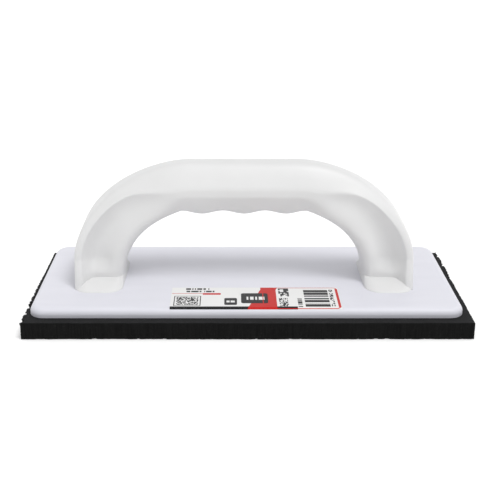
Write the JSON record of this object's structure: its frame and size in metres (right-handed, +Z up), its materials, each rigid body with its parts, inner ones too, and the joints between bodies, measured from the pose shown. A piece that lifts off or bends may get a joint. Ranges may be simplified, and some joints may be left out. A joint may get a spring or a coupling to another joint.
{
  "type": "grout float",
  "caption": "Hand grout float: black rubber pad glued under a white moulded plate, with a white bow handle that has finger grooves.",
  "frame": {"origin": "centre of the rubber pad's working face", "axes": "+X along the long side to the user's right, +Y away from the user, +Z up towards the grip"},
  "size_m": [0.28, 0.12, 0.0967],
  "materials": {
    "black_rubber": "cut cellular rubber, matte",
    "black_glue": "dried contact cement",
    "white_plate": "moulded, satin gloss",
    "white_handle": "moulded, satin gloss",
    "printed_label": null,
    "zinc_screw": "bright zinc plate"
  },
  "bodies": {
    "root": {"rubber_pad": "black_rubber", "adhesive_film": "black_glue", "backing_plate": "white_plate", "handle": "white_handle", "label": "printed_label", "screw_left_outer": "zinc_screw", "screw_left_inner": "zinc_screw", "screw_right_inner": "zinc_screw", "screw_right_outer": "zinc_screw"}
  },
  "joints": []
}
